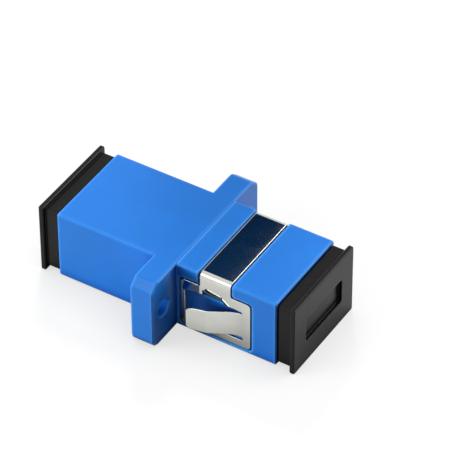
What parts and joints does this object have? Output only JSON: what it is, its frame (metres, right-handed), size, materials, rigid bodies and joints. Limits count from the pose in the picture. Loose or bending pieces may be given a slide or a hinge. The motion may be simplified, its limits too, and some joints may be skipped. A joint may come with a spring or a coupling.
{
  "type": "sc fibre adapter",
  "caption": "Simplex fibre-optic adapter: rectangular through housing with a panel flange, a wrap-round spring clip and a pull-off dust cap in each port.",
  "frame": {"origin": "middle of the alignment sleeve, on the optical axis, in the middle of the flange's thickness", "axes": "+X along the optical axis from the plain half to the half with the spring clip, Y across the flange ears, +Z towards the side that the clip's strap crosses"},
  "size_m": [0.0344, 0.0228, 0.0096],
  "materials": {
    "housing_plastic": "satin moulded blue",
    "insert_plastic": "satin moulded blue",
    "sleeve_ceramic": "ground",
    "clip_steel": "bright rolled stainless sheet",
    "cap_plastic": "soft satin black"
  },
  "bodies": {
    "adapter": {"housing_plain_half": "housing_plastic", "housing_clip_half": "housing_plastic", "latch_insert_plain_side": "insert_plastic", "latch_insert_clip_side": "insert_plastic", "split_sleeve": "sleeve_ceramic", "spring_clip": "clip_steel"},
    "cap_plain_side": {"dust_cap_plain_side": "cap_plastic"},
    "cap_clip_side": {"dust_cap_clip_side": "cap_plastic"}
  },
  "joints": [
    {"name": "cap_pull_plain_side", "type": "slide", "parent": "adapter", "child": "cap_plain_side", "axis": [-1, 0, 0], "range_m": [0, 0.035]},
    {"name": "cap_pull_clip_side", "type": "slide", "parent": "adapter", "child": "cap_clip_side", "axis": [1, 0, 0], "range_m": [0, 0.035]}
  ]
}
